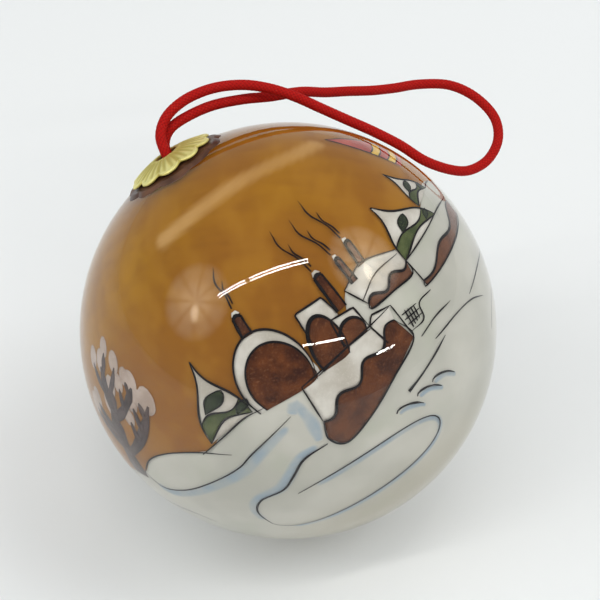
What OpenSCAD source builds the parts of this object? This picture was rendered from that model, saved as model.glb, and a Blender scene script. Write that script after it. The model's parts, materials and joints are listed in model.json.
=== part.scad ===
// Hanging ball ornament: a blown-glass ball painted on the inside, with a stamped
// flower cap glued over its painting hole and a cord loop knotted under the cap.
// It is drawn lying on a table, with its crown leaning over. The origin is the
// point where the glass touches the table, and +Z is up.

/* [Globe] */
// Outside diameter of the blown-glass ball
globe_d = 80; // [70:1:100]
// Thickness of the glass
glass_t = 1.8; // [1:0.1:2.5]
// Diameter of the painting hole at the crown
mouth_d = 10; // [9:0.5:12]
// Angle of the crown from upright, as the ball lies
crown_lean = 38; // [0:1:60]
// Direction that the crown leans in, counted from +X towards +Y
crown_turn = 151; // [0:1:359]

/* [Paint on the inner wall] */
// Thickness of each layer of paint
film_t = 0.1; // [0.08:0.01:0.12]
// Highest point of the inked and coloured village, above the middle of the ball
picture_top = 31; // [20:1:32]
// Lowest point of the inked and coloured village, below the middle of the ball
picture_drop = 30; // [20:1:32]
// Height of the snow line above the middle of the ball
snow_line = 14; // [5:1:20]
// How far the sky coat runs down below the middle of the ball
sky_drop = 12; // [5:1:20]

/* [Flower cap] */
// Diameter over the petal tips
cap_d = 17.5; // [16:0.5:20]
// Height of the cap's dome
cap_rise = 2.1; // [1.5:0.1:2.5]
// Thickness of the stamped sheet
cap_t = 0.4; // [0.3:0.1:0.6]
// Number of petals
petals = 10; // [8:1:12]
// Turn of the petals about the crown's axis, from the side that faces down
petal_turn = 21; // [0:1:36]
// Diameter of the hole for the two strands of cord
cord_hole_d = 4.6; // [4.4:0.1:6]
// Thickness of the glue between the petal tips and the glass
glue_t = 0.35; // [0.3:0.05:0.5]
// Diameter that the glue was squeezed out to
glue_d = 21; // [20:0.5:23]

/* [Cord] */
// Diameter of the braided cord
cord_d = 2; // [1.8:0.1:2]
// Diameter of the knot under the cap
knot_d = 5.8; // [5:0.2:6]
// Length of the two cut ends below the knot
tail_l = 7; // [4:1:10]

/* [Hidden] */
$fn = 96;

globe_r = globe_d / 2;
inner_r = globe_r - glass_t;
film_gap = 0.05;            // between one layer of paint and the next
film_step = film_t + film_gap;
brush_margin = 0.5;         // the paint stops this far from the edge of the mouth

cap_r = cap_d / 2;
rim_z = sqrt(pow(globe_r + glue_t, 2) - pow(cap_r, 2));
dome_r = (pow(cap_r, 2) + pow(cap_rise, 2)) / (2 * cap_rise);
dome_z = rim_z + cap_rise - dome_r;
petal_pitch_r = cap_r / (1 + 1.25 * sin(180 / petals));
petal_r = cap_r - petal_pitch_r;
glue_bore_r = mouth_d / 2 + brush_margin;

knot_r = knot_d / 2;
cord_start_z = globe_r - 3.5;
knot_bite = 0.6;            // the strands run this far into the knot
knot_z = cord_start_z + knot_bite - knot_r;
knot_foot = 1.8;            // the flat where the cut ends leave, below its middle
tail_offset = 1.2;

// The cord's route, from the knot out through the cap, round the loop and back.
// It is in the crown's own frame: z runs from the middle of the ball out through
// the crown, and y points to the front as the ball lies.
// The numbers suit a ball of 80 mm, and grow or shrink with the ball.
route_globe_d = 80;
route = [
    [-0.8, 0.8, 36.5], [-0.8, 0.8, 39.5], [-0.9, 0.6, 42.5], [-1, -0.8, 45.3],
    [-2, -4, 47.2], [-4, -8.5, 47.5], [-7, -13, 46.2], [-10, -17, 43.5],
    [-12.5, -20, 40], [-15, -22, 36], [-17, -24, 31.5], [-19, -26, 27],
    [-21.5, -28, 22], [-24, -29.5, 17], [-25.5, -31.5, 11.5], [-26.5, -35.5, 6.5],
    [-27.5, -39.5, 3.5], [-29, -44.5, 2.5], [-30, -49.5, 4], [-29.5, -53, 7.5],
    [-27, -54.5, 12.5], [-23.5, -54, 17], [-19.5, -51, 20.5], [-16.5, -47, 23],
    [-14.5, -43, 25.5], [-13, -38.5, 28.5], [-12, -33.5, 31.5], [-11.5, -28, 35],
    [-10, -22, 38], [-8, -17, 41], [-5.5, -12, 43.5], [-3, -7.5, 44.7],
    [-0.8, -4, 44.8], [0.5, -1.8, 43.3], [0.8, -0.9, 41], [0.8, -0.8, 38.5],
    [0.8, -0.8, 36.5]];
rings_a_span = 2;
cord_sides = 8;

// A smooth curve through the points: the Catmull-Rom spline, some steps to a span
function spline(a, b, c, d, t) = 0.5 * (2 * b + (c - a) * t
    + (2 * a - 5 * b + 4 * c - d) * t * t + (3 * b - a - 3 * c + d) * t * t * t);
function smooth(pts, steps) = let (last = len(pts) - 1) [
    for (i = [0 : last - 1], k = [0 : steps - 1])
        spline(i == 0 ? 2 * pts[0] - pts[1] : pts[i - 1], pts[i], pts[i + 1],
            i == last - 1 ? 2 * pts[last] - pts[last - 1] : pts[i + 2], k / steps),
    pts[last]];
function unit(v) = v / norm(v);
function across(v, along) = unit(v - (v * along) * along);

// A round tube swept along a line of points, with its sides kept from twisting
module tube(line, r, sides) {
    last = len(line) - 1;
    along = [for (i = [0 : last]) unit(line[min(i + 1, last)] - line[max(i - 1, 0)])];
    side = [for (i = 0, s = across([1, 0, 0], along[0]); i <= last; i = i + 1,
        s = across(s, along[min(i, last)])) s];
    points = [for (i = [0 : last], k = [0 : sides - 1]) let (a = 360 * k / sides)
        line[i] + r * (cos(a) * side[i] + sin(a) * cross(along[i], side[i]))];
    skin = [for (i = [0 : last - 1], k = [0 : sides - 1])
        let (a = i * sides + k, b = i * sides + (k + 1) % sides)
        for (half = [[a, a + sides, b], [b, a + sides, b + sides]]) half];
    ends = [[for (k = [0 : sides - 1]) k],
        [for (k = [sides - 1 : -1 : 0]) last * sides + k]];
    polyhedron(points = points, faces = concat(skin, ends), convexity = 10);
}

// Turns a piece from the crown's frame to the way that the ball lies
module lying() {
    translate([0, 0, globe_r]) rotate([0, crown_lean, crown_turn]) children();
}

// A thin spherical layer between two heights, open round the mouth
module film(layer, low, high) {
    outer = inner_r - film_gap - layer * film_step;
    difference() {
        intersection() {
            sphere(outer);
            translate([0, 0, low]) cylinder(r = globe_r, h = high - low);
        }
        sphere(outer - film_t);
        cylinder(d = mouth_d + 2 * brush_margin, h = globe_r);
    }
}

module glass_globe() {
    color([0.92, 0.95, 0.96, 0.35]) lying() difference() {
        sphere(globe_r);
        sphere(inner_r);
        cylinder(d = mouth_d, h = globe_r + 1);
    }
}

module ink_drawing() {
    color([0.08, 0.06, 0.06]) lying() film(0, -picture_drop, picture_top);
}

module colour_fills() {
    color([0.36, 0.19, 0.12]) lying() film(1, -picture_drop, picture_top);
}

module snow_coat() {
    color([0.93, 0.93, 0.90]) lying() film(2, -globe_r, snow_line);
}

module sky_coat() {
    color([0.62, 0.38, 0.12]) lying() film(3, -sky_drop, globe_r);
}

module glue_ring() {
    color([0.24, 0.14, 0.10]) lying() difference() {
        intersection() {
            sphere(globe_r + glue_t);
            cylinder(d = glue_d, h = globe_r + 1);
        }
        sphere(globe_r);
        cylinder(r = glue_bore_r, h = globe_r + 1);
    }
}

module petal_outline() {
    circle(r = petal_pitch_r);
    for (i = [0 : petals - 1])
        rotate(petal_turn + i * 360 / petals) translate([petal_pitch_r, 0]) circle(r = petal_r);
}

module flower_cap() {
    color([0.80, 0.72, 0.40]) lying() difference() {
        intersection() {
            translate([0, 0, dome_z]) sphere(dome_r + cap_t);
            translate([0, 0, dome_z]) linear_extrude(height = globe_d) petal_outline();
        }
        translate([0, 0, dome_z]) sphere(dome_r);
        cylinder(d = cord_hole_d, h = globe_d);
    }
}

module hanging_cord() {
    grow = globe_d / route_globe_d;
    shift = [0, 0, cord_start_z - grow * route[0][2]];
    line = smooth([for (p = route) grow * p + shift], rings_a_span);
    color([0.72, 0.08, 0.08]) lying() tube(line, cord_d / 2, cord_sides);
}

module cord_knot() {
    color([0.66, 0.07, 0.07]) lying() translate([0, 0, knot_z]) {
        difference() {
            sphere(knot_r);
            translate([0, 0, -knot_r - knot_foot]) cylinder(r = knot_r, h = knot_r);
        }
        for (s = [-1, 1])
            translate([s * tail_offset, 0, -knot_foot - tail_l])
                cylinder(d = cord_d, h = tail_l);
    }
}

glass_globe();
ink_drawing();
colour_fills();
snow_coat();
sky_coat();
glue_ring();
flower_cap();
hanging_cord();
cord_knot();
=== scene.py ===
# %% [markdown]
# # A glass ball painted on the inside
# The ornament is a blown-glass ball. Its picture is brushed on the inner wall through the hole at
# the crown: ink lines first, then the colours, the snow, and the amber sky behind them all. A
# stamped brass flower is glued over the hole, and a red cord loop is knotted under it.
# The imported model gives every size and place, so the first cell loads it and keeps its parts.

# %% Load the imported model
import json
import math

import bmesh
import bpy
import numpy as np
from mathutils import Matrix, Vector


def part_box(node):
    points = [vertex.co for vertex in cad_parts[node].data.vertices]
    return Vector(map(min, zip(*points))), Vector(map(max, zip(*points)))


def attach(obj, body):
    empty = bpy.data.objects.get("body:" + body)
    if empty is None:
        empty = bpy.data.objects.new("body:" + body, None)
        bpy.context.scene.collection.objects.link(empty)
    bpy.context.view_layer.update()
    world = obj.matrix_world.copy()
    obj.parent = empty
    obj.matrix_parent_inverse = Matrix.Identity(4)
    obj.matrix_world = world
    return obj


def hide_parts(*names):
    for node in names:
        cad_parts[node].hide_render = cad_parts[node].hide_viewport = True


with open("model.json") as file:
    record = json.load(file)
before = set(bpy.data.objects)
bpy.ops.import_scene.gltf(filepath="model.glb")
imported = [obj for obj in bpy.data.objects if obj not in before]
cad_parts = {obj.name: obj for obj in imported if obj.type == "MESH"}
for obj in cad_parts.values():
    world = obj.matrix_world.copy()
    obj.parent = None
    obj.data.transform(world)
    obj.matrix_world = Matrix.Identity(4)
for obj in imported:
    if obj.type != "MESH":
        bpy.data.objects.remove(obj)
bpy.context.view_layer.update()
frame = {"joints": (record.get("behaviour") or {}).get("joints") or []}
MM = 0.001

# %% [markdown]
# ## The crown's own frame
# The ball lies on a table with its crown leaning back and to the left. Everything round the crown
# is easier to draw upright, so it is drawn in the crown's frame and then turned to lie. The turn
# comes from the loop's swivel axis, which runs from the middle of the ball out through the crown.

# %% The crown's frame, from the swivel axis and the glass
ball_low, ball_high = (np.array(corner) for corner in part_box("glass_globe"))
middle = np.round((ball_low + ball_high) / 2, 4)
ball_r = round(float(ball_high[2] - ball_low[2]) / 2, 4)


def unit(v):
    """A vector, or each row of an array of vectors, divided by its length."""
    v = np.asarray(v, float)
    return v / np.linalg.norm(v, axis=-1, keepdims=True)


crown_z = unit(frame["joints"][0]["axis"])
crown_y = unit(np.cross((0, 0, 1), crown_z))
crown = np.stack([np.cross(crown_y, crown_z), crown_y, crown_z])


def lying(points):
    """Points of the crown's frame, turned and lifted to where the ball lies."""
    return middle + np.asarray(points) @ crown


print("ball radius", ball_r, "crown axis", np.round(crown_z, 3))

# %% [markdown]
# ## Camera
# The ball is looked down on from the front, so the camera stands in front of it and above. It aims
# a little to the right of the middle and above it, which leaves room for the loop.

# %% Camera
LOOK_DOWN = math.radians(42)
STAND_OFF = 0.28
LENS = 86.7
AIM_RIGHT, AIM_UP = 2.3 * MM, 5.8 * MM
to_viewer = np.array([0, -math.cos(LOOK_DOWN), math.sin(LOOK_DOWN)])
screen_right = np.array([1.0, 0, 0])
screen_up = np.cross(to_viewer, screen_right)
aim = middle + AIM_RIGHT * screen_right + AIM_UP * screen_up
eye = middle + STAND_OFF * to_viewer
camera = bpy.data.objects.new("camera", bpy.data.cameras.new("camera"))
camera.data.lens = LENS
camera.location = eye
camera.rotation_euler = Vector(aim - eye).to_track_quat("-Z", "Y").to_euler()
bpy.context.scene.collection.objects.link(camera)
bpy.context.scene.camera = camera
print("camera at", np.round(eye, 3), "lens", camera.data.lens)

# %% [markdown]
# ## Shader maths in Python
# A material is a graph of nodes, and a sum of textures takes many of them. The class below wraps
# one output, so that `0.3 + 0.7 * noise` adds the Math nodes itself. Numbers alone never become
# nodes, because Python works them out. A Mix node has sockets of the same name for numbers,
# vectors and colours, so its colour sockets are known by their places.

# %% A socket that takes part in sums
MIX_SHARE, MIX_FIRST, MIX_SECOND, MIX_RESULT = 0, 6, 7, 2


class Socket:
    """One output of a node, in the tree that it belongs to."""

    def __init__(self, tree, output=None):
        self.tree, self.output = tree, output

    def add(self, kind, settings=None, values=None, out=0):
        """A new node of that kind: its settings first, then a value or a link for each socket."""
        node = self.tree.nodes.new("ShaderNode" + kind)
        for key, value in (settings or {}).items():
            setattr(node, key, value)
        for key, value in (values or {}).items():
            if isinstance(value, Socket):
                self.tree.links.new(value.output, node.inputs[key])
            else:
                node.inputs[key].default_value = value
        return Socket(self.tree, node.outputs[out])

    def maths(self, operation, first, second=0.0):
        """A Math node: the operation on two sockets or numbers."""
        return self.add("Math", {"operation": operation}, {0: first, 1: second})

    def __add__(self, other):
        return self.maths("ADD", self, other)

    def __radd__(self, other):
        return self.maths("ADD", other, self)

    def __sub__(self, other):
        return self.maths("SUBTRACT", self, other)

    def __rsub__(self, other):
        return self.maths("SUBTRACT", other, self)

    def __mul__(self, other):
        return self.maths("MULTIPLY", self, other)

    def __rmul__(self, other):
        return self.maths("MULTIPLY", other, self)

    def __pow__(self, other):
        return self.maths("POWER", self, other)

    def clear_of(self, low, high):
        """0 below low, 1 above high, and a smooth rise between them."""
        settings = {"interpolation_type": "SMOOTHSTEP"}
        return self.add("MapRange", settings, {"Value": self, "From Min": low, "From Max": high})

    def mix(self, first, second):
        """The first colour where this socket is 0, and the second where it is 1."""
        values = {MIX_SHARE: self, MIX_FIRST: first, MIX_SECOND: second}
        return self.add("Mix", {"data_type": "RGBA", "clamp_factor": True}, values, MIX_RESULT)

    def dot(self, direction):
        """The dot product of this vector and a direction."""
        values = {0: self, 1: tuple(float(x) for x in direction)}
        return self.add("VectorMath", {"operation": "DOT_PRODUCT"}, values, "Value")


def colour(red, green, blue):
    """A colour named by its 0 to 255 values on screen, as the linear light that shaders use."""
    c = np.array([red, green, blue]) / 255
    linear = np.where(c <= 0.04045, c / 12.92, ((c + 0.055) / 1.055) ** 2.4)
    return (*(float(x) for x in linear), 1.0)


# %% Textures and materials, each from one call
MATT = 0.1


def finish(name, **values):
    """A new material with one Principled shader, whose sockets are named with _ for each space.
    Returns it, a socket to start sums from and the shader's node."""
    material = bpy.data.materials.new(name)
    material.use_nodes = True
    shader = material.node_tree.nodes["Principled BSDF"]
    for key, value in values.items():
        shader.inputs[key.replace("_", " ")].default_value = value
    return material, Socket(material.node_tree), shader


def feed(start, shader, **links):
    """Links sums to the shader's sockets by name, with _ for each space."""
    for key, link in links.items():
        start.tree.links.new(link.output, shader.inputs[key.replace("_", " ")])


def own_place(start):
    """Where a point is in the object's own coordinates."""
    return start.add("TexCoord", out="Object")


def noise(start, scale, detail=3.0, stretch=(1, 1, 1), turn=(0, 0, 0)):
    """Cloudy noise from 0 to 1 on the object's own coordinates, stretched along one way if asked."""
    values = {"Vector": own_place(start), "Scale": stretch, "Rotation": turn}
    mapped = start.add("Mapping", {}, values)
    return start.add("TexNoise", {}, {"Vector": mapped, "Scale": scale, "Detail": detail})


def bump(start, height, strength, distance):
    """A Bump node over that height, in metres."""
    values = {"Height": height, "Strength": strength, "Distance": distance}
    return start.add("Bump", {}, values)


def attribute(start, name):
    """The piece's own attribute of that name, as one number."""
    return start.add("Attribute", {"attribute_name": name}, out="Fac")


# %% [markdown]
# ## Surfaces from grids
# Every piece is a grid of points with a row and a column number. The faces of a grid are always
# the same quads, so one function makes them for all pieces. Points that fall together, at a pole
# or along a seam, are merged afterwards, which closes the surface.

# %% Grids, joined into one mesh
def grid(points, tint=0.0):
    """A surface from points in rows and columns, with its u along the rows and v along the columns.
    Each quad has the corners (r, c), (r, c+1), (r+1, c+1) and (r+1, c)."""
    rows, columns = points.shape[:2]
    corner = np.arange(rows * columns).reshape(rows, columns)
    quads = np.stack([corner[:-1, :-1], corner[:-1, 1:], corner[1:, 1:], corner[1:, :-1]], -1)
    v, u = np.meshgrid(np.linspace(0, 1, columns), np.linspace(0, 1, rows))
    return {
        "points": points.reshape(-1, 3),
        "uv": np.stack([u, v], -1).reshape(-1, 2),
        "tint": np.broadcast_to(tint, (rows, columns)).reshape(-1),
        "faces": quads.reshape(-1, 4),
    }


def outwards(points, faces, inside):
    """The faces, each turned round where its normal looks towards the inside point."""
    corners = points[faces]
    normal = np.cross(corners[:, 2] - corners[:, 0], corners[:, 3] - corners[:, 1])
    back = ((corners.mean(1) - inside) * normal).sum(1) < 0
    return np.where(back[:, None], faces[:, ::-1], faces)


def piece(name, surfaces, material, body, node, inside=None, wall=0.0):
    """One named object from its surfaces. An open skin gives an inside point that it faces away
    from, and a wall that makes it thick, inwards. A closed shell needs neither, and has its normals
    recalculated. The piece rides on a body and stands for the CAD node."""
    before = np.cumsum([0] + [len(s["points"]) for s in surfaces])
    points = np.concatenate([s["points"] for s in surfaces])
    faces = np.concatenate([s["faces"] + n for s, n in zip(surfaces, before)])
    if inside is not None:
        faces = outwards(points, faces, inside)
    mesh = bpy.data.meshes.new(name)
    mesh.from_pydata(points.tolist(), [], faces.tolist())
    uv = np.concatenate([s["uv"] for s in surfaces])
    mesh.uv_layers.new(name="UVMap").uv.foreach_set("vector", uv[faces.ravel()].ravel())
    tint = np.concatenate([s["tint"] for s in surfaces]).astype(np.float32)
    mesh.attributes.new("tint", "FLOAT", "POINT").data.foreach_set("value", tint)
    close_seams(mesh, closed=inside is None)
    mesh.polygons.foreach_set("use_smooth", np.ones(len(mesh.polygons), bool))
    mesh.materials.append(material)
    made = bpy.data.objects.new(name, mesh)
    bpy.context.scene.collection.objects.link(made)
    if wall:
        thick = made.modifiers.new("wall", "SOLIDIFY")
        thick.thickness, thick.offset = wall, -1
    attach(made, body)
    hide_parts(node)
    print(name, len(mesh.polygons), "faces for", node)
    return made


def close_seams(mesh, closed):
    """Merges the points that fall together. On a closed shell it then turns the normals out."""
    work = bmesh.new()
    work.from_mesh(mesh)
    bmesh.ops.remove_doubles(work, verts=work.verts, dist=1e-6)
    if closed:
        bmesh.ops.recalc_face_normals(work, faces=work.faces)
    work.to_mesh(mesh)
    work.free()


# %% [markdown]
# ## The red cord loop
# One length of braided cord is doubled, both ends go down through the flower, and they are knotted
# inside. It lies as its spring lets it: one strand rises and arches over, the other crosses under
# it, and the loop hangs out over the right shoulder of the ball. The route is a list of points in
# the crown's frame, the same as in the CAD source, and a spline runs through them.

# %% A spline through points
def spline(points, steps=12):
    """A Catmull-Rom curve: each span is a cubic through its two points, whose slope at each is half
    the way from the point before to the point after. A point given twice makes a sharp corner."""
    p = np.asarray(points, float)
    p = np.concatenate([[2 * p[0] - p[1]], p, [2 * p[-1] - p[-2]]])
    a, b, c, d = (p[i : len(p) - 3 + i, None] for i in range(4))
    keep = np.any(b != c, axis=(1, 2))
    a, b, c, d = (x[keep] for x in (a, b, c, d))
    t = (np.arange(steps) / steps)[None, :, None]
    square = (2 * a - 5 * b + 4 * c - d) * t**2
    cube = (3 * b - a - 3 * c + d) * t**3
    line = 0.5 * (2 * b + (c - a) * t + square + cube)
    return np.concatenate([line.reshape(-1, p.shape[1]), p[-2:-1]])


def even(line, count):
    """The line again, as that many points at equal distances along it."""
    steps = np.linalg.norm(np.diff(line, axis=0), axis=1)
    along = np.concatenate([[0], np.cumsum(steps)])
    at = np.linspace(0, along[-1], count)
    return np.stack([np.interp(at, along, column) for column in line.T], 1)


def length_of(line):
    """The sum of the distances between its points."""
    return float(np.linalg.norm(np.diff(line, axis=0), axis=1).sum())


# %% The cord's route
ROUTE = [
    (-0.8, 0.8, 36.5), (-0.8, 0.8, 39.5), (-0.9, 0.6, 42.5), (-1, -0.8, 45.3),
    (-2, -4, 47.2), (-4, -8.5, 47.5), (-7, -13, 46.2), (-10, -17, 43.5),
    (-12.5, -20, 40), (-15, -22, 36), (-17, -24, 31.5), (-19, -26, 27),
    (-21.5, -28, 22), (-24, -29.5, 17), (-25.5, -31.5, 11.5), (-26.5, -35.5, 6.5),
    (-27.5, -39.5, 3.5), (-29, -44.5, 2.5), (-30, -49.5, 4), (-29.5, -53, 7.5),
    (-27, -54.5, 12.5), (-23.5, -54, 17), (-19.5, -51, 20.5), (-16.5, -47, 23),
    (-14.5, -43, 25.5), (-13, -38.5, 28.5), (-12, -33.5, 31.5), (-11.5, -28, 35),
    (-10, -22, 38), (-8, -17, 41), (-5.5, -12, 43.5), (-3, -7.5, 44.7),
    (-0.8, -4, 44.8), (0.5, -1.8, 43.3), (0.8, -0.9, 41), (0.8, -0.8, 38.5),
    (0.8, -0.8, 36.5),
]
CORD_R = 1 * MM
CORD_SIDES = 56
RING_STEP = 0.17 * MM
loop_line = lying(MM * spline(ROUTE, 24))
loop_line = even(loop_line, round(length_of(loop_line) / RING_STEP))
print("cord", round(length_of(loop_line), 4), "m in", len(loop_line), "rings")

# %% [markdown]
# The braid is real relief. Two families of strands wind round the cord, one each way, and each
# shows as a diamond where it passes over. The grooves lie where either family's wave is zero, so
# the product of the two waves draws the diamonds.

# %% A braided tube along a line
BRAID_WAVES = 4
BRAID_PITCH = 6.4 * MM
BRAID_DEPTH = 0.05


def tube(line, sides, square_to):
    """A tube with flat ends: at each point of the line, a ring of points square to it, whose radius
    swells by the braid's relief. square_to is a direction that the line never runs along, to turn
    the rings by. The relief is the root of |cos(4 a + k s) cos(4 a - k s)|, with a round the cord
    and s along it. Each end is closed by a ring that is all at the line's own end."""
    along = unit(np.gradient(line, axis=0))
    side = unit(np.cross(along, square_to))
    other = np.cross(along, side)
    a = np.linspace(0, 2 * math.pi, sides + 1)[None, :]
    s = (np.arange(len(line)) * length_of(line) / (len(line) - 1))[:, None]
    turn = 2 * math.pi * BRAID_WAVES * s / BRAID_PITCH
    height = np.sqrt(np.abs(np.cos(BRAID_WAVES * a + turn) * np.cos(BRAID_WAVES * a - turn)))
    r = (CORD_R * (1 - BRAID_DEPTH + BRAID_DEPTH * height))[..., None]
    ring = np.cos(a)[..., None] * side[:, None] + np.sin(a)[..., None] * other[:, None]
    rings = line[:, None] + r * ring
    first, last = (np.broadcast_to(end, rings[:1].shape) for end in (line[0], line[-1]))
    flat = np.zeros_like(height[:1])
    return grid(np.concatenate([first, rings, last]), np.concatenate([flat, height, flat]))


# %% [markdown]
# The fibre is a deep red, darkened in the grooves as painted shade, and pale specks of painted sheen are
# scattered over it. The tube keeps its relief as a tint, so the painted shade of the finish lies
# exactly in the grooves of the shape.

# %% The cord's finish
def red_cord():
    """Satin fibre. The relief darkens the grooves as painted shade, and fine noise scatters specks of
    painted sheen.
    """
    material, start, shader = finish("red_cord", Roughness=0.75, Specular_IOR_Level=MATT)
    # painted shade: the relief height darkens the braid's grooves
    height = attribute(start, "tint").clear_of(0.1, 0.8)
    thread = noise(start, 2600, 2.0)
    # painted sheen: pale specks stand for light caught on the fibres
    sheen_speck = noise(start, 5200, 1.0).clear_of(0.62, 0.74)
    red = height.mix(colour(124, 10, 10), colour(178, 22, 17))
    red = (0.4 * thread).mix(red, colour(146, 14, 12))
    red = (0.3 * sheen_speck).mix(red, colour(222, 92, 76))
    feed(start, shader, Base_Color=red, Normal=bump(start, thread, 0.5, 0.03 * MM))
    return material


# %% The loop, as a braided tube
loop_square = unit((0.18, -0.31, 0.93))
loop_tube = tube(loop_line, CORD_SIDES, loop_square)
cord_finish = red_cord()
red_loop = piece("red_loop", [loop_tube], cord_finish, "loop", "hanging_cord")

# %% [markdown]
# ## The knot inside
# Under the flower the two strands are tied together so that they can't be pulled out. It is never
# seen while the ball is whole, so it is kept simple: a barrel of cord wound round the strands, and
# the two cut ends hanging from it.

# %% The barrel of the knot and its cut ends
KNOT_TOP, KNOT_TURNS, KNOT_RISE, KNOT_R = 36.0, 2.5, 1.55, 1.9
KNOT_SIDES = 32
turns = np.linspace(0, 2 * math.pi * KNOT_TURNS, 200)
knot_height = KNOT_TOP - KNOT_RISE * turns / (2 * math.pi)
barrel = np.stack([KNOT_R * np.cos(turns), KNOT_R * np.sin(turns), knot_height], 1)
knot_tubes = [tube(even(lying(MM * barrel), 240), KNOT_SIDES, crown[2])]
for x in (-1, 1):
    tail = [(x * KNOT_R, 0, 34), (x * 1.1, 0, 31.5), (x * 1.2, 0.3 * x, 28.5), (x * 1.4, 0.5 * x, 25.6)]
    knot_tubes.append(tube(even(lying(MM * spline(tail)), 90), KNOT_SIDES, crown[1]))
tied_knot = piece("tied_knot", knot_tubes, cord_finish, "loop", "cord_knot")

# %% [markdown]
# Both ends of the loop go back into the ornament through the cap's hole, where the cord leaves it.

# %% [markdown]
# ## The glass
# The ball is blown to 80 mm, with a wall of about 2 mm and a hole whose lip was melted round. It
# could be two spheres, but the lip would stay sharp. A profile turned round the crown's axis gives
# the outer wall, the lip and the inner wall as one closed skin. The paint lies on the inner wall
# with no air between, so the inner face is drawn just inside the paint: a gap there would mirror.

# %% A profile turned round the crown's axis
def turned(profile, columns):
    """A surface of revolution: each profile point (radius, height) goes once round the axis."""
    a = np.linspace(0, 2 * math.pi, columns + 1)
    r, z = np.asarray(profile, float).T
    round_it = np.stack([np.cos(a), np.sin(a), np.zeros_like(a)], -1)
    points = r[:, None, None] * round_it[None] + z[:, None, None] * np.array([0, 0, 1.0])
    return grid(lying(points))


MOUTH_R = 5 * MM
INNER_R = 37.4 * MM
GLASS_ROWS, GLASS_COLUMNS, LIP_ROWS = 120, 192, 10


def arc(radius, first, last, rows):
    """Profile points on a circle round the ball's middle, between two angles from the crown."""
    a = np.linspace(first, last, rows)
    return np.stack([radius * np.sin(a), radius * np.cos(a)], 1)


def glass_profile():
    """From the foot of the ball up its outer wall, round the lip and down the inner wall."""
    lip_r = (ball_r - INNER_R) / 2
    lip_at = math.asin((MOUTH_R + lip_r) / (ball_r - lip_r))
    middle_of_lip = (ball_r - lip_r) * np.array([math.sin(lip_at), math.cos(lip_at)])
    a = lip_at + np.linspace(0, -math.pi, LIP_ROWS + 2)[1:-1]
    lip = middle_of_lip + lip_r * np.stack([np.sin(a), np.cos(a)], 1)
    outer = arc(ball_r, math.pi, lip_at, GLASS_ROWS)
    inner = arc(INNER_R, lip_at, math.pi, GLASS_ROWS)
    return np.concatenate([outer, lip, inner])


# %% Clear glass that lets lamps through to the paint
def clear_glass():
    """Glass for the eye and for mirrors, and nothing for lamps, so the paint behind it is lit."""
    material, start, shader = finish(
        "clear_glass", Base_Color=(1, 1, 1, 1), Roughness=0.0, IOR=1.5, Transmission_Weight=1.0
    )
    glass = Socket(start.tree, shader.outputs[0])
    through = start.add("BsdfTransparent", {}, {"Color": (1, 1, 1, 1)})
    for ray in ("Is Diffuse Ray", "Is Shadow Ray"):
        kind = start.add("LightPath", {}, {}, out=ray)
        glass = start.add("MixShader", {}, {0: kind, 1: glass, 2: through})
    start.tree.links.new(glass.output, start.tree.nodes["Material Output"].inputs["Surface"])
    return material


glass_skin = turned(glass_profile(), GLASS_COLUMNS)
piece("glass_ball", [glass_skin], clear_glass(), "globe", "glass_globe")

# %% [markdown]
# ## Places on the painted wall
# The painter's picture goes all round the ball, so it is laid out in degrees: the first number
# goes round to the right from the middle of the front, and the second goes up towards the crown.
# Each coat has a radius of its own, with the ink outermost, as it was the first on the glass.

# %% From degrees to a coat of paint
FRONT = 137
INK_R, DETAIL_R, FILL_R, ROOF_R, WASH_R, SNOW_R, SKY_R = (
    MM * r for r in (38.12, 38.06, 38.0, 37.94, 37.87, 37.82, 37.66)
)
COAT = 0.04 * MM


def on_wall(degrees, radius):
    """Points (right, up) in degrees, as places on a sphere of that radius round the middle."""
    degrees = np.asarray(degrees, float)
    right, up = np.radians(degrees[..., 0] + FRONT), np.radians(degrees[..., 1])
    r = np.asarray(radius)[..., None]
    flat = np.stack([np.cos(right), np.sin(right)], -1) * np.cos(up)[..., None]
    return lying(r * np.concatenate([flat, np.sin(up)[..., None]], -1))


# %% Three ways to lay paint: a fan, a band and a brush line
PATCH_STEP = 1.6


def rows_over(reach):
    """How many rows of a grid cover that many degrees."""
    return max(3, math.ceil(reach / PATCH_STEP) + 1)


def fan(outline, radius, tint=0.0):
    """A filled shape: its outline, shrunk in steps to the middle of its points. Each row of the
    grid is the outline times a share from 1 down to 0."""
    line = spline([*outline, outline[0]])
    line = even(line, rows_over(length_of(line)))
    heart = line[:-1].mean(0)
    reach = np.linalg.norm(line - heart, axis=1).max()
    share = np.linspace(0, 1, rows_over(reach))[:, None, None]
    return grid(on_wall(heart + share * (line - heart), radius), tint)


def band(first, second, radius, tint=0.0):
    """A filled shape between two lines that run the same way: straight from one to the other."""
    first, second = spline(first), spline(second)
    count = rows_over(max(length_of(first), length_of(second)))
    first, second = even(first, count), even(second, count)
    wide = np.linalg.norm(first - second, axis=1).max()
    share = np.linspace(0, 1, rows_over(wide))[None, :, None]
    points = first[:, None] * (1 - share) + second[:, None] * share
    return grid(on_wall(points, radius), tint)


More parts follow.
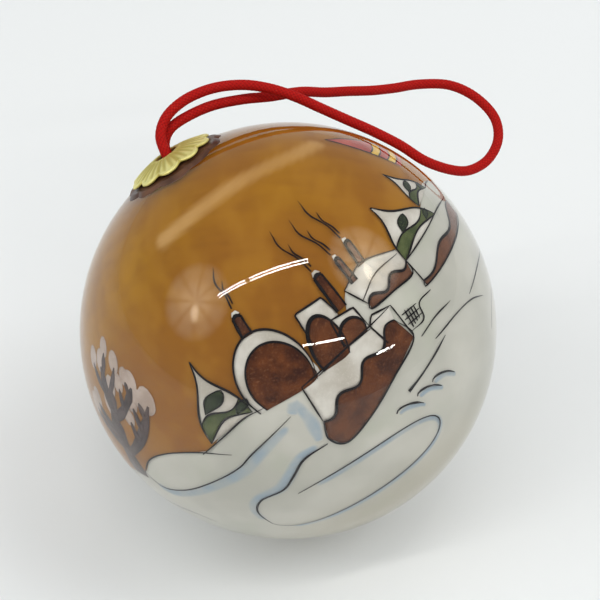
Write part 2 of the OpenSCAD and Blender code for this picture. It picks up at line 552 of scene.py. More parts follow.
def stroke(anchors, wide, radius, taper, columns=3, sink=0.0):
    """A brush line: a spline with half its width to each side. The width grows from its share at
    the start to the full width and falls to its share at the end, as the brush is pressed. With a
    sink, its rim lies that much lower than its middle: sink times the larger of x and y^8, each
    from 0 in the middle to 1 at the rim, across and along."""
    line = spline(anchors)
    line = even(line, max(6, math.ceil(length_of(line)) + 1))
    level = np.cos(np.radians(line[:, 1]))
    slope = unit(np.gradient(line, axis=0) * np.stack([level, np.ones_like(level)], 1))
    across = np.stack([-slope[:, 1] / level, slope[:, 0]], 1)
    t = np.linspace(0, 1, len(line))
    press = np.interp(t, [0, 0.15, 0.75, 1], [taper[0], 1, 1, taper[1]])
    press = press * (1 + 0.14 * np.sin(9 * t + 3 * anchors[0][0]))
    aside = np.linspace(-1, 1, columns)[None, :]
    offset = 0.5 * aside[..., None] * (wide * press)[:, None, None]
    rim = np.maximum(np.abs(aside), ((2 * t - 1) ** 8)[:, None])
    return grid(on_wall(line[:, None] + offset * across[:, None], radius - sink * rim))


# %% [markdown]
# ## The snow and the sky
# The two great coats meet at the hill line. The snow runs from the foot of the ball up to it, and
# the amber sky was brushed on last, over the back of everything, so it starts below the line and
# ends at the hole. Both are strips from one level to another, all the way round.

# %% The hill line and the two coats
HILLS = [
    (-180, 4), (-150, 8), (-120, 2), (-95, -3), (-77, -3), (-67, -2.5), (-59, 2), (-50, 3),
    (-40, 1), (-36, 0.5), (-30, 3.5), (-22, 7), (-15, 6.5), (-8, 4), (0, 4), (8, 6), (14, 11),
    (18, 16.5), (27, 19.5), (37, 15.5), (46, 14), (56, 16), (64, 17.5), (72, 18), (80, 15),
    (92, 9), (110, 6), (130, 9), (152, 6), (180, 4),
]
COAT_COLUMNS, SNOW_ROWS, SKY_ROWS = 300, 72, 64
SNOW_DOWN, SKY_DOWN = -90, -12
COATS_HOLE_R = 5.5 * MM
sky_up = 90 - math.degrees(math.asin(COATS_HOLE_R / SKY_R))
around_once = np.linspace(-180, 180, COAT_COLUMNS + 1)
hill_points = spline(HILLS)
hill_line = np.interp(around_once, hill_points[:, 0], hill_points[:, 1])


def strip(bottom, top, rows):
    """Places (right, up) between two heights, each a number or one for each place round."""
    up = bottom + np.linspace(0, 1, rows)[:, None] * (top - bottom) + 0 * around_once
    return np.stack([around_once + 0 * up, up], -1)


def soft_stroke(places, line, wide):
    """How much a soft brush line covers each place: exp(-(distance from the line / wide)^4)."""
    points = even(spline(line), 60)
    right, up = places[..., None, 0], places[..., None, 1]
    away = np.hypot((right - points[:, 0]) * np.cos(np.radians(up)), up - points[:, 1])
    return np.exp(-((away.min(-1) / wide) ** 4))


STREAK, STREAK_WIDE = [(-25, 57.5), (-8, 59.5), (14, 60), (36, 57), (64, 49)], 2.5
sky_places = strip(SKY_DOWN, sky_up, SKY_ROWS)
sky_coat = grid(on_wall(sky_places, SKY_R), soft_stroke(sky_places, STREAK, STREAK_WIDE))
snow_coat = grid(on_wall(strip(SNOW_DOWN, hill_line, SNOW_ROWS), SNOW_R))
print("hills from", hill_line.min().round(1), "to", hill_line.max().round(1), "degrees up")

# %% [markdown]
# The sky was dabbed on in clouds. One noise would look like fog, so several lie over each other,
# some round and some stretched as the brush went. The snow is nearly one colour, with grey and
# green clouds in it, and painted shade darkens and yellows it towards the foot of the ball.

# %% The finishes of the two coats
def amber_sky():
    """Amber enamel in broad soft clouds, yellower in places, with a pale brush streak."""
    material, start, shader = finish("amber_sky", Roughness=0.85, Specular_IOR_Level=MATT)
    broad = noise(start, 22, 2.0).clear_of(0.35, 0.65)
    cloud = noise(start, 70, 4.0, stretch=(1, 0.5, 1), turn=(0.3, 0.6, 0.4)).clear_of(0.3, 0.72)
    hairs = noise(start, 420, 3.0, stretch=(0.25, 1, 1), turn=(0.2, 0.5, 0.9)).clear_of(0.3, 0.8)
    dabs = noise(start, 150, 2.0, stretch=(1, 0.35, 1), turn=(0.9, 0.2, 0.3)).clear_of(0.42, 0.62)
    amber = broad.mix(colour(143, 92, 24), colour(168, 119, 10))
    amber = (0.55 * cloud).mix(amber, colour(132, 82, 22))
    amber = (0.3 * hairs).mix(amber, colour(116, 68, 20))
    amber = (0.2 * dabs).mix(amber, colour(186, 134, 44))
    streak = attribute(start, "tint") * (0.35 + 0.35 * cloud)
    feed(start, shader, Base_Color=streak.mix(amber, colour(204, 162, 104)))
    return material


def snow_tones(start):
    """The colours of the snow: warm white with grey and faint green clouds, and painted shade towards the
    foot.
    """
    cloud = noise(start, 60, 3.0).clear_of(0.3, 0.7)
    warm = cloud.mix(colour(173, 171, 160), colour(194, 191, 180))
    green = noise(start, 95, 2.0, turn=(0.5, 0.1, 0.3)).clear_of(0.5, 0.75)
    tones = (0.35 * green).mix(warm, colour(170, 174, 154))
    # painted shade: darker and yellower towards the foot of the ball, away from the crown
    level = own_place(start).dot(crown_z / ball_r)
    foot = (middle @ crown_z / ball_r - level).clear_of(0.45, 0.8)
    return (0.8 * foot).mix(tones, colour(156, 148, 124))


def snow_white():
    """Warm white enamel."""
    material, start, shader = finish("snow_white", Roughness=0.9, Specular_IOR_Level=MATT)
    feed(start, shader, Base_Color=snow_tones(start))
    return material


piece("amber_sky", [sky_coat], amber_sky(), "globe", "sky_coat", middle, COAT)
piece("snow_ground", [snow_coat], snow_white(), "globe", "snow_coat", middle, COAT)

# %% [markdown]
# ## The village
# The picture is a row of snowed-in cottages between a bare tree on the left and firs on the right,
# with a frozen pond in front. Each paint is one piece, so the shapes are collected by paint while
# they are drawn, and each helper lays its fills and draws their outlines in one go.

# %% A pot for each paint
POT_NAMES = ("ink", "walls", "roofs", "firs", "bark", "blossom", "ribbon", "wash")
pots = {name: [] for name in POT_NAMES}
LINE = 0.42


def ink(line, wide=LINE, taper=(0.5, 0.3)):
    """One ink line along the points."""
    pots["ink"].append(stroke(line, wide, INK_R, taper))


def sharp(points):
    """Each point given twice, so that the spline keeps it as a corner."""
    return [point for point in points for _ in range(2)]


ARCH_CUT = math.radians(32)


def arch(at, foot, wide, high, lean):
    """A rounded outline from its left foot to its right. It is an ellipse without its lowest part,
    so it is widest a third of the way up, and it leans right by that much at its top."""
    t = np.linspace(math.pi + ARCH_CUT, -ARCH_CUT, 11)
    up = (np.sin(t) + math.sin(ARCH_CUT)) / (1 + math.sin(ARCH_CUT))
    return np.stack([at + wide / 2 * np.cos(t) + lean * up, foot + high * up], 1)


def wavy(first, last, waves, swing):
    """A straight run from first to last that waves across its way: swing times sin(2 pi waves t)."""
    first, last = np.array(first, float), np.array(last, float)
    t = np.linspace(0, 1, 8 * waves + 1)[:, None]
    way = unit(last - first)
    across = np.array([-way[1], way[0]])
    return first + (last - first) * t + swing * np.sin(2 * math.pi * waves * t) * across


# %% Cottages, chimneys and smoke
def arched_cottage(at, foot, wide, high, snow, lean, tint):
    """A round-topped end wall under a crescent of snow. Tint makes the brown greyer."""
    wall_line = arch(at, foot, wide, high, lean)
    snow_line = arch(at - 0.18 * snow, foot, wide + 0.75 * snow, high + snow, lean)
    pots["roofs"].append(fan(snow_line, ROOF_R))
    pots["walls"].append(fan(wall_line, FILL_R, tint))
    ink(wall_line, 0.52)
    ink(snow_line, 0.55)


def roof_slab(points):
    """A four-cornered roof of snow, outlined on all sides but the last."""
    pots["roofs"].append(fan(sharp(points), ROOF_R))
    ink(sharp(points), 0.5)


def long_house(eaves, foot, tint, ridge=None):
    """A long wall whose snow ends in a wavy edge, and its roof of snow up to the ridge."""
    pots["walls"].append(band(eaves, foot, FILL_R, tint))
    ink(eaves, 0.72, (0.6, 0.5))
    ink([eaves[0], *foot, eaves[-1]], 0.52)
    if ridge:
        pots["roofs"].append(band(ridge, eaves, ROOF_R))
        ink(ridge)
        ink(sharp([ridge[0], eaves[0]]))


def chimney(foot, top, wide, tint):
    """A leaning chimney with a dark mouth and a crust of snow."""
    foot, top = np.array(foot, float), np.array(top, float)
    side = np.array([wide / 2, 0])
    left, right = [foot - 1.15 * side, top - side], [foot + 1.15 * side, top + side]
    pots["walls"].append(band(left, right, DETAIL_R, tint))
    ink(left, 0.8, (1, 1))
    ink(right, 0.5, (1, 1))
    rim = np.array([0, 0.5])
    ink([top - side, top + rim, top + side], 0.9, (1, 1))
    heap = ((-1, 1), (-0.8, 3), (0.6, 3.4), (1, 1))
    pots["roofs"].append(fan([top + x * side + y * rim for x, y in heap], DETAIL_R))


def smoke(right, up, high, drift):
    """Two wisps, the second shorter: each drifts aside evenly and sways by sin(2.4 pi t) times t."""
    t = np.linspace(0, 1, 9)
    for share, shift in ((1, 0), (0.55, 1)):
        sway = 1.2 * share * t * np.sin(2.4 * math.pi * t)
        aside = right + shift + drift * share * t + sway
        ink(np.stack([aside, up + shift + high * share * t], 1), LINE, (0.9, 0.15))


# %% The village street
roof_slab([(3, 12), (3.5, 20), (12, 19.5), (13, 13)])
arched_cottage(5.5, 4, 9, 12.5, 0.5, 1.5, 0.15)
roof_slab([(9, 6), (10, 13.5), (17, 12.5), (17.5, 5.5)])
arched_cottage(13, 5.5, 7.5, 5.5, 0.3, 0.5, 0.3)
arched_cottage(-8.8, 3.5, 17, 15, 4, 0, 0.0)
chimney((-10, 22), (-10, 27.5), 2.6, 0.25)
chimney((14.5, 14), (15, 24), 2.6, 0.1)
chimney((22, 17), (22.5, 24), 1.6, 0.9)
chimney((27, 19), (28.5, 25.5), 2, 0.9)
for right, up, high, drift in ((-10, 30, 12, 0), (14.5, 26, 15, -2), (22, 26, 14, -2), (28, 27.5, 15, 0)):
    smoke(right, up, high, drift)
print("the street has", len(pots["ink"]), "ink lines")

# %% The long houses, on the slope
ink([(-0.5, 4), (8.5, 5.5), (17.5, 5.5)])
long_house(
    wavy((-6, -7), (24, 3), 3, -1.4),
    [(-7.5, -12), (-4, -16), (5, -13.5), (16, -8.5), (26, -4)],
    0.12,
    [(-5.5, 4), (8, 5.5), (25, 6.5)],
)
roof_slab([(19, -0.5), (17.5, 6), (19.5, 8), (25.5, 6.5)])
ink([(25.5, 6.5), (26, -3.5)])
far_eaves, far_foot = wavy((21, 10.5), (38, 11.5), 2, 1.1), [(21, 9), (29, 8.5), (37, 8)]
long_house(far_eaves, far_foot, 0.8, [(18, 17), (27, 19.5), (38, 15.5)])
long_house(wavy((38.5, 4.5), (76, 9), 2, -1.0), [(38.5, 3), (52, 3), (75, 4.5)], 0.7)

# %% [markdown]
# ## Firs
# A fir is a white cone of snow with a green skirt and a dark patch where the snow has slipped.
# The skirt is laid over the white, and the ink goes round both.

# %% A fir from its tip and its feet
def fir(tip, left_foot, right_foot, skirt=0.24):
    """A snowy fir. Each side runs from the tip to a foot and sways inwards above and outwards
    below, by a share of its length times sin(2 pi t). The skirt covers the last share of it."""
    t = np.linspace(0.05, 1, 9)[:, None]
    sides = []
    for foot, turn in ((left_foot, 1), (right_foot, -1)):
        run = np.subtract(foot, tip).astype(float)
        across = turn * np.array([-run[1], run[0]])
        sides.append(tip + run * t + 0.045 * across * np.sin(2 * math.pi * t))
    left, right = sides
    high = tip[1] - (left_foot[1] + right_foot[1]) / 2
    seam_left, seam_right = (even(side, 101)[round(100 * (1 - skirt))] for side in sides)
    seam = wavy(seam_left, seam_right, 1, 0.06 * high)
    hem = [left[-1], (left[-1] + right[-1]) / 2 + (0, 0.14 * high), right[-1]]
    pots["roofs"].append(band(left, right, ROOF_R))
    ink([left[0], right[0]], 0.5, (1, 1))
    pots["firs"].append(band(seam, hem, FILL_R, 0.15))
    seam_middle, foot_middle = (seam_left + seam_right) / 2, (left[-1] + right[-1]) / 2
    patch_at = 0.42 * seam_middle + 0.29 * foot_middle + 0.29 * np.array(tip)
    dark_end = 0.3 * seam[-3] + 0.7 * (seam[-1] + right[-1]) / 2
    for at, size in ((patch_at, 0.1 * high), (dark_end, 0.06 * high)):
        patch = [at + size * np.array(p) for p in ((-1.8, -1), (-0.72, 0.8), (1.8, 0.9), (1.08, -0.6))]
        pots["firs"].append(fan(patch, DETAIL_R, 0.9))
        ink([*patch, patch[0]], 0.3)
    for line, wide in ((left, 0.55), (right, 0.6), (seam, 0.45), (hem, 0.5)):
        ink(line, wide)


for tip, left_foot, right_foot in (
    ((-28.5, 24.5), (-34.5, 2), (-19.5, 5)),
    ((43, 28), (38, 11.5), (61, 12)),
    ((60.5, 30), (58, 17), (70, 17)),
    ((104, 23), (98, 6), (110, 5)),
    ((121, 18), (116, 5), (126, 5)),
    ((-163, 22), (-170, 5), (-157, 4)),
    ((-147, 18), (-152, 6), (-142, 5)),
    ((-112, 15), (-118, -1), (-106, -1)),
):
    fir(tip, left_foot, right_foot)
ink([(38, 11.5), (38.5, 3)])
ink([(20, 12), (28, 15), (37.5, 14.5)], 0.34)
ink([(38, 11.5), (50, 12), (64, 12), (77, 10)])
ink([(70, 17), (74, 17), (78, 16)])
print(len(pots["firs"]) // 3, "firs")

# %% [markdown]
# ## The bare tree
# The tree grows by a rule, as a list of places for every twig would be long and look stiff: a
# branch bends up as it goes, carries shorter ones along it, and has blossom behind its end.

# %% The bare tree in blossom
bud_turn = np.linspace(0, 2 * math.pi, 10, endpoint=False)


def bud(at, wide, high):
    """An oval of blossom, behind the branch."""
    oval = np.stack([wide * np.cos(bud_turn), high * np.sin(bud_turn)], 1)
    pots["blossom"].append(fan(at + oval, ROOF_R))


def branch(start, way, long, wide, twigs=()):
    """A branch that leaves at an angle from upright, in degrees, and turns half-way up as it goes.
    Each twig is a share of the way along, an angle and a length. Blossom hides behind each end."""
    t = np.linspace(0, 1, 6)
    turn = np.radians(way * (1 - 0.5 * t))
    steps = np.stack([np.sin(turn), np.cos(turn)], 1) * long / 5
    line = np.array(start, float) + np.concatenate([[(0, 0)], np.cumsum(steps[:-1], 0)])
    pots["bark"].append(stroke(line, wide, FILL_R, (1, 0.25)))
    for share, twig_way, twig_long in twigs:
        branch(line[round(5 * share)], twig_way, twig_long, 0.55 * wide)
    bud(line[-1] + (0, 1.5), 0.05 * long + 1.9, 0.07 * long + 2.5)


branch((-71, -4), 16, 22, 5.6, ((0.8, 30, 10), (0.6, -45, 12)))
branch((-65.5, 15), -4, 14, 3.4, ((0.4, 55, 11), (0.4, -40, 11), (0.8, 30, 7)))
branch((-68, 4), 72, 24, 3.2, ((0.4, 10, 6), (0.6, 5, 7), (0.8, 0, 5)))
branch((-65, 15), 75, 15, 2.8, ((0.4, 15, 6), (0.8, 0, 4)))
branch((-69, 6), -50, 14, 2.6)
print(len(pots["bark"]), "branches")

# %% [markdown]
# ## The ribbon
# A red ribbon hangs down the sky on the right, and widens to its foot. It is a band between its two
# edges, and each yellow stripe is a shorter band that ends on the same edges.

# %% The ribbon and its stripes
RIBBON_LEFT = [(70, 47), (70, 40), (71, 33), (73, 25)]
RIBBON_RIGHT = [(70, 47), (76, 42), (82, 34), (84, 25)]
STRIPE_HIGH = 2.4


def ribbon_edge(side, up):
    """How far right an edge of the ribbon is at a height."""
    right, height = np.array(side[::-1], float).T
    return np.interp(up, height, right)


pots["ribbon"].append(band(RIBBON_LEFT, RIBBON_RIGHT, FILL_R))
for low_edge in (27, 32):
    edges = []
    for up in (low_edge, low_edge + STRIPE_HIGH):
        left, right = ribbon_edge(RIBBON_LEFT, up), ribbon_edge(RIBBON_RIGHT, up)
        edges.append([(left, up), ((left + right) / 2, up - 0.5), (right, up)])
        ink(edges[-1], 0.4)
    pots["ribbon"].append(band(*edges, DETAIL_R, 1.0))
ink(RIBBON_LEFT, 0.5)
ink(RIBBON_RIGHT, 0.4)

# %% [markdown]
# ## Lines in the snow
# The banks, the path and the pond are one ink line each, with a wash of thin blue laid along it.
# The wash has to fade into the snow. So its rim sinks under the snow, and its own UV map says how
# far across a point lies, which turns the finish from blue in the middle to the snow's colours.

# %% Banks, pond and grass
WASH_SINK = 0.07 * MM


def wash(line, wide):
    """A wash of blue, whose rim sinks under the snow, so that no edge of it is seen."""
    pots["wash"].append(stroke(line, wide, WASH_R, (0.6, 0.6), columns=7, sink=WASH_SINK))


def bank(line, wash_wide, shift, wide=LINE):
    """An ink line with a blue wash beside it, shifted that far across in degrees."""
    ink(line, wide)
    wash(np.asarray(line, float) + shift, wash_wide)


hill_foot = [(-67, -2.5), (-64, -8), (-55, -9.5), (-45, -9), (-33, -7.5), (-26, -5), (-12, -1)]
path_edge = [(-8.5, -13), (-16, -13.5), (-22, -17), (-27, -19.5), (-35, -20), (-40, -24), (-41.5, -31)]
bank(hill_foot, 6, (0.6, -1.4))
bank(path_edge, 5.6, (-0.6, 0.8), 0.6)
pond_turn = np.radians(np.linspace(118, -180, 26))
pond_up = 8.7 * np.sin(pond_turn) + 0.6 * np.sin(3 * pond_turn)
pond = np.stack([-9.5 + 32 * np.cos(pond_turn), -30.5 + pond_up], 1)
bank(pond, 3.8, (0, -0.9))
wash([(-12, -1.5), (-9.5, 1), (-8.6, -3), (-8.8, -7), (-10, -12)], 6)
for right, up in ((11, -18), (18.5, -18), (24.5, -18)):
    t = np.linspace(0, math.pi, 7)
    tuft = np.stack([right + 5 - 5 * np.cos(t * 0.75), up + 1.2 * np.sin(t) - t**2 / 3], 1)
    bank(tuft, 2.8, (0.6, -1.4), 0.6)
ink([(17, -15), (24, -13.5), (35, -10.5)], 0.6, (1.6, 0.3))
for line in (
    [(38.5, 1.5), (33, 1.5), (31.5, -2.5), (26.5, -2.5)],
    [(28, -5.5), (35, -4.5), (42.5, -5)],
    [(31.5, -9), (42, -9), (51, -10.5), (59, -14)],
    [(51.5, -9), (64, -7.5), (77, -8)],
    [(59.5, -24.5), (66, -19), (76, -17)],
    [(-67, -2.5), (-59, 2), (-50, 3), (-40, 1), (-31.5, -3)],
    [(-39, 0), (-30, 2.5), (-22.5, 4.5), (-16.5, 4.5)],
    [(-76.5, -2.5), (-77.5, -12), (-64, -20), (-60, -25)],
):
    ink(line)
for step in range(4):
    ink([(27.5 + step, -2 + 0.2 * step), (28 + step, 3 - 0.3 * step)], LINE, (0.8, 0.5))
for step in range(3):
    ink([(26.5, -0.5 + 1.5 * step), (32, -1 + 1.5 * step)], 0.36, (0.7, 0.5))

# %% The far side: a cottage and low banks
long_house(wavy((135, 12), (152, 12), 2, 0.9), [(137, 3), (151, 3)], 0.2, [(139, 20), (148, 20)])
chimney((147, 20), (147, 26), 2.4, 0.3)
smoke(147, 28, 12, 1)
bank([(95, -12), (112, -9), (130, -13), (150, -11), (170, -15)], 3.6, (0, -1))
bank([(-172, -22), (-150, -17), (-128, -21), (-104, -16), (-88, -19)], 3.6, (0, -1))
bank([(100, -30), (125, -27), (150, -32), (178, -30)], 3.4, (0, -1))
print({name: len(pot) for name, pot in pots.items()})

# %% [markdown]
# ## The paints
# The fills and the lines are one kind of enamel in other colours: cloudy where it is thick or
# thin, streaked by the brush's hairs, and speckled where it dried on the glass. So one function
# makes the finish from its colours, and each pot of shapes becomes one piece.

# %% Brushed enamel, and thin blue
def enamel(name, dark, light, scale, tinted=None, grains=None):
    """Flat enamel seen through glass: cloudy between two colours, with the brush's fine streaks.
    tinted is a third colour, which the piece's own tint brings in, and grains that of the specks."""
    material, start, shader = finish(name, Roughness=0.85, Specular_IOR_Level=MATT)
    body = noise(start, scale, 4.0).clear_of(0.3, 0.7).mix(dark, light)
    hairs = noise(start, 700, 2.0, stretch=(1, 0.2, 1), turn=(0.4, 0.2, 0.5))
    if tinted:
        body = attribute(start, "tint").mix(body, tinted)
    body = (0.3 * hairs.clear_of(0.35, 0.75)).mix(body, dark)
    specks = noise(start, 3200, 2.0).clear_of(0.56, 0.7)
    body = (0.35 * specks).mix(body, grains or light)
    feed(start, shader, Base_Color=body, Roughness=0.7 + 0.25 * hairs)
    return material


def pale_wash():
    """Thin blue over the snow: bluest along the middle of the stroke, gone at its edges."""
    material, start, shader = finish("pale_wash", Roughness=0.9, Specular_IOR_Level=MATT)
    own_map = start.add("TexCoord", out="UV")
    along, across = (start.add("SeparateXYZ", {}, {0: own_map}, out=axis) for axis in "XY")
    hump = 4.0 * across * (1.0 - across) * (4.0 * along * (1.0 - along)).clear_of(0.0, 0.3)
    patchy = noise(start, 260, 3.0).clear_of(0.25, 0.65)
    share = hump.clear_of(0.55, 1.0) * (0.4 + 0.5 * patchy)
    feed(start, shader, Base_Color=share.mix(snow_tones(start), colour(140, 156, 168)))
    return material


# %% The paints, each as one piece
tint_brown, grain_brown = colour(106, 73, 56), colour(140, 92, 58)
brown = enamel("brown_walls", colour(50, 18, 4), colour(100, 52, 18), 300, tint_brown, grain_brown)
white = enamel("snow_roofs", colour(176, 168, 155), colour(208, 203, 193), 150)
green = enamel("fir_green", colour(64, 74, 42), colour(98, 105, 64), 300, colour(26, 34, 28))
dark_bark = enamel("dark_bark", colour(54, 42, 40), colour(84, 68, 64), 260)
pink = enamel("blossom_pink", colour(160, 140, 126), colour(190, 172, 160), 180)
scarlet = enamel("ribbon_red", colour(150, 62, 52), colour(186, 92, 78), 220, colour(222, 182, 64))
black = enamel("ink_black", colour(10, 8, 9), colour(30, 24, 26), 400)
for name, pot, paint in (
    ("brown_walls", "walls", brown), ("snow_roofs", "roofs", white), ("green_firs", "firs", green),
    ("tree_bark", "bark", dark_bark), ("tree_blossom", "blossom", pink),
    ("red_ribbon", "ribbon", scarlet),
):
    piece(name, pots[pot], paint, "globe", "colour_fills", middle, COAT)
piece("blue_washes", pots["wash"], pale_wash(), "globe", "snow_coat", middle, COAT)
piece("ink_lines", pots["ink"], black, "globe", "ink_drawing", middle, COAT)

# %% [markdown]
# ## The flower cap
# Thin brass is stamped into a low dome with ten petals, each ribbed from the middle outwards and
# with a rolled rim. The grid is a polar one: it runs from the cord's hole to the petals' outline,
# and the height is the dome's plus the stamped relief.

# %% The petals' outline and relief
PETALS = 10
PETAL_TURN = math.radians(21)
CAP_R, CAP_RISE, CAP_SHEET = 8.75 * MM, 2.1 * MM, 0.4 * MM
HOLE_R = 2.3 * MM
GLUE_UP = 0.35 * MM
PITCH_R = CAP_R / (1 + 1.25 * math.sin(math.pi / PETALS))
PETAL_R = CAP_R - PITCH_R
RIM_Z = math.sqrt((ball_r + GLUE_UP) ** 2 - CAP_R**2)
DOME_R = (CAP_R**2 + CAP_RISE**2) / (2 * CAP_RISE)
DOME_Z = RIM_Z + CAP_RISE - DOME_R


def petal_angle(a):
    """The angle from the nearest petal's middle line."""
    return (a - PETAL_TURN + math.pi / PETALS) % (2 * math.pi / PETALS) - math.pi / PETALS


def petal_edge(a):
    """How far the outline is at each angle: where a line from the middle leaves the petal's circle."""
    near = petal_angle(a)
    return PITCH_R * np.cos(near) + np.sqrt(PETAL_R**2 - (PITCH_R * np.sin(near)) ** 2)


def cap_relief(share, a):
    """The stamped relief, in metres: each petal's crown, three ribs on it, and the rolled rim."""
    near = petal_angle(a) * PETALS / math.pi
    wide = np.clip((share - 0.35) / 0.65, 0, 1)
    crown_of_petal = 0.30 * wide * np.cos(near * math.pi / 2) ** 0.5
    ribs = 0.075 * np.cos(near * 3 * math.pi) * np.clip(share * 1.3, 0, 1) * (share < 0.9)
    rim = 0.10 * np.exp(-(((share - 0.95) / 0.035) ** 2))
    edge = -0.22 * np.clip((share - 0.965) / 0.035, 0, 1) ** 2
    boss = 0.12 * np.exp(-(((share - 0.36) / 0.05) ** 2))
    return MM * (crown_of_petal + ribs + rim + edge + boss)


# %% The cap
CAP_ROWS, CAP_COLUMNS = 44, 560
cap_turn = np.linspace(0, 2 * math.pi, CAP_COLUMNS + 1)[None, :]
cap_share = np.linspace(0, 1, CAP_ROWS)[:, None]
outline = petal_edge(cap_turn)
cap_radius = HOLE_R + cap_share * (outline - HOLE_R)
relief = cap_relief(cap_radius / outline, np.broadcast_to(cap_turn, cap_radius.shape))
cap_height = DOME_Z + np.sqrt((DOME_R + CAP_SHEET) ** 2 - cap_radius**2) + relief
cap_points = np.stack([cap_radius * np.cos(cap_turn), cap_radius * np.sin(cap_turn), cap_height], -1)
cap_tint = np.clip(relief / (0.4 * MM), 0, 1)


def gilt_brass():
    """Pale gilt over brass: dull and a little green in the grooves, bright along the ribs."""
    material, start, shader = finish("gilt_brass", Metallic=0.45, Roughness=0.45)
    height = attribute(start, "tint").clear_of(0.1, 0.75)
    worn = noise(start, 900, 4.0).clear_of(0.35, 0.75)
    gilt = height.mix(colour(196, 182, 96), colour(246, 238, 156))
    gilt = (0.3 * worn).mix(gilt, colour(206, 192, 108))
    rough = 0.52 - 0.14 * height + 0.1 * worn
    grain = noise(start, 5200, 2.0)
    feed(start, shader, Base_Color=gilt, Roughness=rough, Normal=bump(start, grain, 0.25, 0.02 * MM))
    return material


cap_skin, cap_inside = grid(lying(cap_points), cap_tint), lying((0, 0, DOME_Z))
piece("petal_cap", [cap_skin], gilt_brass(), "globe", "flower_cap", cap_inside, CAP_SHEET)

# %% [markdown]
# ## The glue
# The cap is pressed into dark brown glue, which squeezes out past the petals and sets as a glossy
# bead. Its edge follows the petals loosely. It is a closed ring: over the top from the hole to the
# outer edge, and back along the glass.

# %% A bead round the petals
GLUE_ROWS, GLUE_COLUMNS = 26, 420
glue_turn = np.linspace(0, 2 * math.pi, GLUE_COLUMNS + 1)
WOBBLES = ((3, 0.22, 0.4), (5, 0.16, 2.1), (7, 0.12, 4.0), (13, 0.06, 1.0))
glue_wobble = sum(size * np.sin(times * glue_turn + phase) for times, size, phase in WOBBLES)
glue_out = 0.55 * petal_edge(glue_turn) + 0.45 * CAP_R + MM * (1.75 + glue_wobble)
GLUE_IN = 5.6 * MM
GLUE_HIGH, GLUE_RIM, GLUE_UNDER = 0.36 * MM, 0.16 * MM, 0.02 * MM


def glue_ring():
    """Out over the glass as a flat layer with a swollen rim, then back just below the glass to the
    first row. The layer is high (1 - t^10), the rim exp(-((t - 0.82) / 0.1)^2), t from 0 to 1."""
    t = np.linspace(0, 1, GLUE_ROWS)[:, None]
    reach_out = GLUE_IN + (glue_out - GLUE_IN) * t
    hump = GLUE_HIGH * (1 - t**10) + GLUE_RIM * np.exp(-(((t - 0.82) / 0.10) ** 2))
    top_r = ball_r + hump * np.sqrt(1 - t**14) + 0 * reach_out
    under_r = np.full_like(reach_out, ball_r - GLUE_UNDER)
    ring_r = np.concatenate([top_r, under_r, top_r[:1]])
    out = np.concatenate([reach_out, reach_out[::-1], reach_out[:1]])
    height = np.sqrt(ring_r**2 - out**2)
    return np.stack([out * np.cos(glue_turn), out * np.sin(glue_turn), height], -1)


def brown_glue():
    """Dark resin with a wet gloss, a little paler and dustier in places."""
    material, start, shader = finish("brown_glue", Coat_Weight=0.15, Coat_Roughness=0.15)
    cloud = noise(start, 260, 3.0).clear_of(0.35, 0.7)
    brown = cloud.mix(colour(66, 36, 20), colour(104, 66, 42))
    lumps = bump(start, noise(start, 700, 3.0), 0.35, 0.15 * MM)
    feed(start, shader, Base_Color=brown, Roughness=0.4 + 0.3 * cloud, Normal=lumps)
    return material


glue_skin = grid(lying(glue_ring()))
piece("glue_bead", [glue_skin], brown_glue(), "globe", "glue_ring")

# %% [markdown]
# ## The table
# The ornament lies on a plain white table, which also lights it from below. One large square is
# enough, as its edge is never seen.

# %% The table
def pale_table():
    """Matt white, with the faintest clouding."""
    material, start, shader = finish("pale_table", Roughness=0.6, Specular_IOR_Level=2 * MATT)
    cloud = noise(start, 3, 2.0)
    feed(start, shader, Base_Color=cloud.mix(colour(228, 229, 228), colour(233, 234, 234)))
    return material


TABLE_HALF = 4
table_mesh = bpy.data.meshes.new("table")
table_top = [(x * TABLE_HALF, y * TABLE_HALF, 0) for x, y in ((-1, -1), (1, -1), (1, 1), (-1, 1))]
table_mesh.from_pydata(table_top, [], [(0, 1, 2, 3)])
table_mesh.materials.append(pale_table())
table = bpy.data.objects.new("table", table_mesh)
bpy.context.scene.collection.objects.link(table)
print("table", 2 * TABLE_HALF, "m wide")

# %% [markdown]
# ## Lamps
# Glass shows whatever is round it, so the lamps' shapes matter as much as their light. Pairs of
# tubes on the ceiling light the table, and the glass draws them as thin bright lines. A soft lamp
# behind, which the glass doesn't show, keeps the far side from going dark.

# %% Tubes on the ceiling, and a soft lamp
def lamp(name, place, size, radiance, turn, tone=(1, 1, 1)):
    """A flat lamp of that size and brightness, turned by Euler angles."""
    light = bpy.data.lights.new(name, "AREA")
    light.shape, light.size, light.size_y = "RECTANGLE", *size
    light.energy = radiance * math.pi * size[0] * size[1]
    light.color = tone
    made = bpy.data.objects.new(name, light)
    made.location, made.rotation_euler = place, turn
    bpy.context.scene.collection.objects.link(made)
    return made


CEILING = 1.2
TUBE_TONE = (1, 0.99, 0.95)


def ceiling_tubes(name, first, last, breaks, radiance, wide, apart):
    """Pairs of tubes end to end between two places on the ceiling, cut at the breaks. The places
    are given for a ceiling of height 1, and the breaks as shares of the way between them."""
    first, last = CEILING * np.array(first), CEILING * np.array(last)
    along = unit(last - first)
    side = np.array([-along[1], along[0]])
    for number, (near, far) in enumerate(breaks):
        centre = first + (last - first) * (near + far) / 2
        long = np.linalg.norm(last - first) * (far - near)
        for twin in (-0.5, 0.5):
            place = (*(centre + twin * apart * side), CEILING)
            turn = (0, 0, math.atan2(along[1], along[0]))
            lamp(f"{name}_{number}_{twin > 0}", place, (long, wide), radiance, turn, TUBE_TONE)


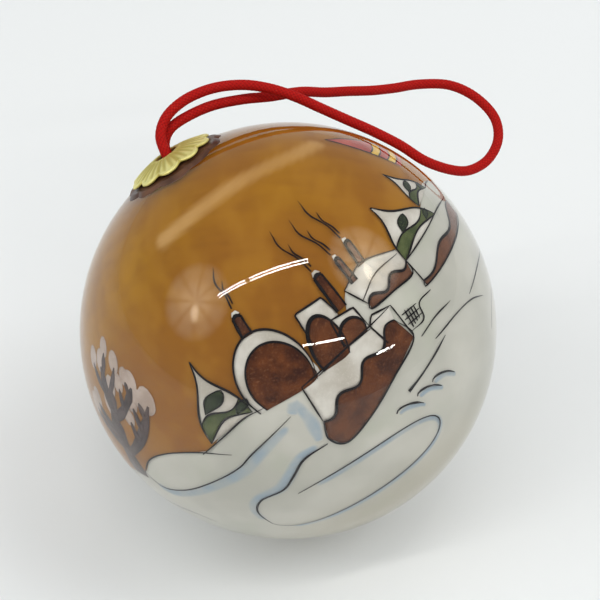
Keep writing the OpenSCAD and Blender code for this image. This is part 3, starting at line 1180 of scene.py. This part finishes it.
ceiling_tubes("near_tubes", (-0.78, -0.5), (0.17, -0.2), ((0, 0.4), (0.44, 1)), 34, 0.018, 0.034)
ceiling_tubes("next_tubes", (0.22, -1.44), (0.88, -1.27), ((0, 0.24), (0.3, 1)), 34, 0.05, 0.03)
ceiling_tubes("last_tubes", (2.38, -2.05), (3.1, -1.8), ((0, 0.6), (0.74, 1)), 40, 0.16, 0.1)
KEY_PLACE, KEY_SIZE = (0.4, 0.5, 0.8), (0.9, 0.9)
key_turn = Vector(middle - np.asarray(KEY_PLACE)).to_track_quat("-Z", "Y").to_euler()
soft_key = lamp("soft_key", KEY_PLACE, KEY_SIZE, 0.85, key_turn)
soft_key.visible_glossy = False
print(len(bpy.data.lights), "lamps")

# %% [markdown]
# ## The room's own light
# Two white umbrellas stand left and right of the table. They are far and soft, so they are drawn
# into the world's light as two round glows with faint ribs, and the glass mirrors them.

# %% A world with two umbrellas in it
UMBRELLAS = (((-0.75, -0.3, 0.59), 2.9), ((0.615, -0.055, 0.787), 3.6))
RIBS = 8
disc_edge, disc_full = (math.cos(math.radians(degrees)) for degrees in (20, 13))
world = bpy.data.worlds.new("room")
bpy.context.scene.world = world
world.use_nodes = True
room = world.node_tree.nodes["Background"]
air = Socket(world.node_tree)
way = air.add("TexCoord", out="Generated")
glow = 0.0
for direction, strength in UMBRELLAS:
    face = unit(direction)
    side = unit(np.cross(face, screen_up))
    upright = np.cross(side, face)
    round_it = air.maths("ARCTAN2", way.dot(side), way.dot(upright))
    rib = (1.0 - air.maths("ABSOLUTE", air.maths("SINE", RIBS / 2 * round_it))) ** 2
    facing = way.dot(face)
    disc = facing.clear_of(disc_edge, disc_full)
    core = facing.clear_of(disc_full, 1.0)
    below = (way.dot(upright) + 0.10) * 10.0
    beside = way.dot(side) * 20.0
    spot = (1.0 - below * below - beside * beside).clear_of(0.0, 1.0)
    glow = glow + strength * (0.6 * disc + 0.7 * core) * (1.0 - 0.55 * rib) + 2.0 * strength * spot
mirrored = air.add("LightPath", out="Is Glossy Ray")
low_down = (1.0 - way.dot((0, 0, 1))) ** 3
dimmed = (0.3 * low_down - 0.26) * mirrored
warmth = (0.4 * glow * mirrored).mix((0.95, 0.98, 1.0, 1), (1.0, 0.88, 0.68, 1))
feed(air, room, Strength=0.47 + dimmed + glow, Color=warmth)
print(len(world.node_tree.nodes), "nodes light the room")

bpy.context.scene.view_settings.view_transform = "Standard"
bpy.context.scene.view_settings.look = "None"
